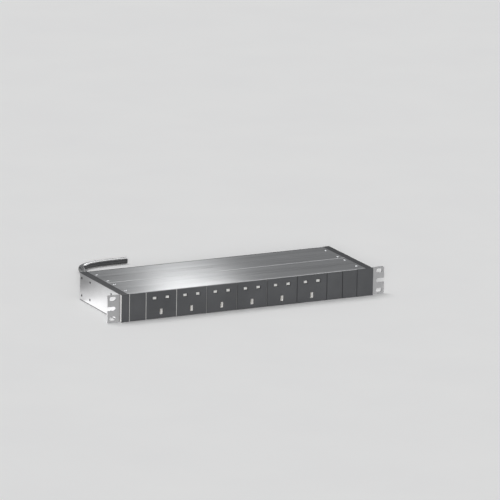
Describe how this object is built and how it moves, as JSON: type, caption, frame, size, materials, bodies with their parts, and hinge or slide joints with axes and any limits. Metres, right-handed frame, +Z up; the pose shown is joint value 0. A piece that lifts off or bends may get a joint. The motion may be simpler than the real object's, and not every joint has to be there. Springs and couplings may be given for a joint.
{
  "type": "rack power distribution unit",
  "caption": "Low rack-mount power distribution unit: aluminium channel body with grey shuttered three-pin sockets along the front, slotted rack ears and a rear supply cord.",
  "frame": {"origin": "centre of the underside of the housing, without the supply cord and its gland", "axes": "+X along the rack width to the right seen from the front, +Y from the sockets to the rear, +Z up"},
  "size_m": [0.4826, 0.3419, 0.044],
  "materials": {
    "aluminium": "brushed and clear anodised",
    "plated_steel": "fine grained plating",
    "dark_plastic": "fine satin moulding",
    "base_plastic": "plain moulding",
    "white_plastic": "plain moulding",
    "spring_steel": "drawn wire",
    "screw_steel": "bright zinc",
    "brass": "stamped",
    "copper": "bent strip",
    "brown_wire": "smooth insulation",
    "blue_wire": "smooth insulation",
    "green_wire": "smooth insulation with a yellow stripe",
    "gland_plastic": "moulded nylon",
    "cord_pvc": "smooth sheath"
  },
  "bodies": {
    "housing": {"front_channel": "aluminium", "rear_channel": "aluminium", "left_rack_bracket": "plated_steel", "right_rack_bracket": "plated_steel", "left_end_cap": "dark_plastic", "right_end_cap": "dark_plastic", "rear_cover": "dark_plastic", "left_blank": "dark_plastic", "right_blank_inner": "dark_plastic", "right_blank_outer": "dark_plastic", "socket_face_1": "dark_plastic", "socket_face_2": "dark_plastic", "socket_face_3": "dark_plastic", "socket_face_4": "dark_plastic", "socket_face_5": "dark_plastic", "socket_face_6": "dark_plastic", "socket_base_1": "base_plastic", "socket_base_2": "base_plastic", "socket_base_3": "base_plastic", "socket_base_4": "base_plastic", "socket_base_5": "base_plastic", "socket_base_6": "base_plastic", "terminal_block": "base_plastic", "shutter_spring_1": "spring_steel", "shutter_spring_2": "spring_steel", "shutter_spring_3": "spring_steel", "shutter_spring_4": "spring_steel", "shutter_spring_5": "spring_steel", "shutter_spring_6": "spring_steel", "earth_bond_tag": "screw_steel", "terminal_screws": "screw_steel", "live_contacts": "brass", "neutral_contacts": "brass", "earth_contacts": "brass", "live_busbar": "brass", "neutral_busbar": "brass", "earth_busbar": "brass", "live_link": "copper", "neutral_link": "copper", "earth_link": "copper", "live_core": "brown_wire", "neutral_core": "blue_wire", "earth_core": "green_wire", "cable_gland_body": "gland_plastic", "gland_nut": "gland_plastic", "gland_locknut": "gland_plastic", "mains_cord": "cord_pvc"},
    "shutter_1": {"shutter_1": "white_plastic"},
    "shutter_2": {"shutter_2": "white_plastic"},
    "shutter_3": {"shutter_3": "white_plastic"},
    "shutter_4": {"shutter_4": "white_plastic"},
    "shutter_5": {"shutter_5": "white_plastic"},
    "shutter_6": {"shutter_6": "white_plastic"}
  },
  "joints": [
    {"name": "shutter_1_slide", "type": "slide", "parent": "housing", "child": "shutter_1", "axis": [0, 0, -1], "range_m": [0, 0.006], "stiffness_N_per_m": 150, "springref_m": -0.004, "deforming": ["shutter_spring_1"]},
    {"name": "shutter_2_slide", "type": "slide", "parent": "housing", "child": "shutter_2", "axis": [0, 0, -1], "range_m": [0, 0.006], "stiffness_N_per_m": 150, "springref_m": -0.004, "deforming": ["shutter_spring_2"]},
    {"name": "shutter_3_slide", "type": "slide", "parent": "housing", "child": "shutter_3", "axis": [0, 0, -1], "range_m": [0, 0.006], "stiffness_N_per_m": 150, "springref_m": -0.004, "deforming": ["shutter_spring_3"]},
    {"name": "shutter_4_slide", "type": "slide", "parent": "housing", "child": "shutter_4", "axis": [0, 0, -1], "range_m": [0, 0.006], "stiffness_N_per_m": 150, "springref_m": -0.004, "deforming": ["shutter_spring_4"]},
    {"name": "shutter_5_slide", "type": "slide", "parent": "housing", "child": "shutter_5", "axis": [0, 0, -1], "range_m": [0, 0.006], "stiffness_N_per_m": 150, "springref_m": -0.004, "deforming": ["shutter_spring_5"]},
    {"name": "shutter_6_slide", "type": "slide", "parent": "housing", "child": "shutter_6", "axis": [0, 0, -1], "range_m": [0, 0.006], "stiffness_N_per_m": 150, "springref_m": -0.004, "deforming": ["shutter_spring_6"]}
  ]
}
